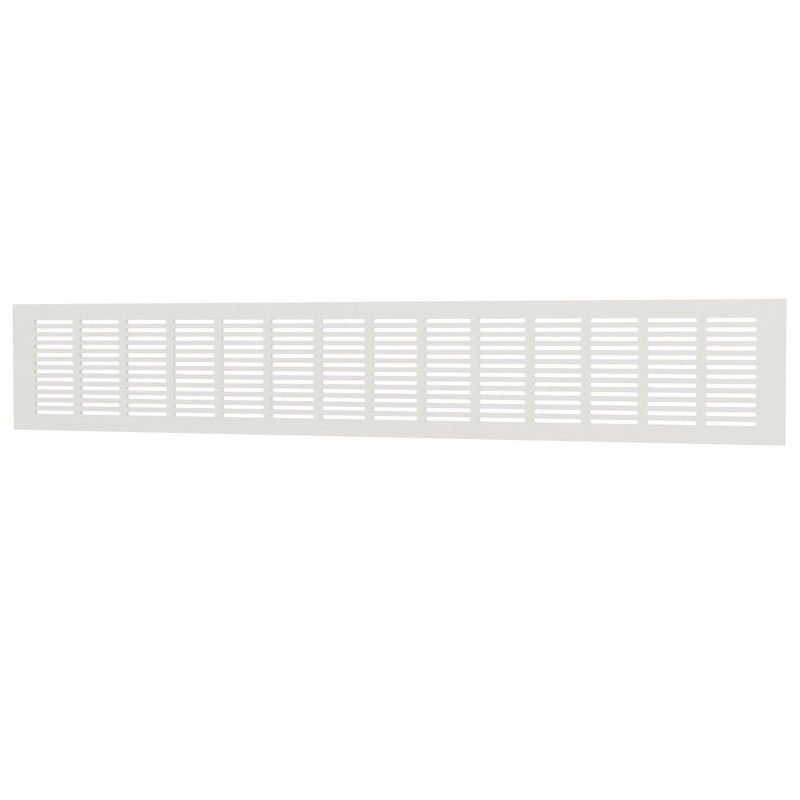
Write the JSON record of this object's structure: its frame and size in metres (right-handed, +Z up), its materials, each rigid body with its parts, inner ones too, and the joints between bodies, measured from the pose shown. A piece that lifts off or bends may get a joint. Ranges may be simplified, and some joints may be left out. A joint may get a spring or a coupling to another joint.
{
  "type": "transfer grille",
  "caption": "Flat rectangular metal plate with a field of round-ended horizontal slots that lets air pass through a wall, door or plinth.",
  "frame": {"origin": "middle of the rear face, which lies against what the grille covers", "axes": "+X along the sheet, +Y out of the rear face towards what the grille is fixed to, +Z up; the front faces -Y"},
  "size_m": [0.6, 0.003, 0.1],
  "materials": {
    "powder_coat": "satin off-white powder coat with a fine texture"
  },
  "bodies": {
    "root": {"grille_plate": "powder_coat"}
  },
  "joints": []
}
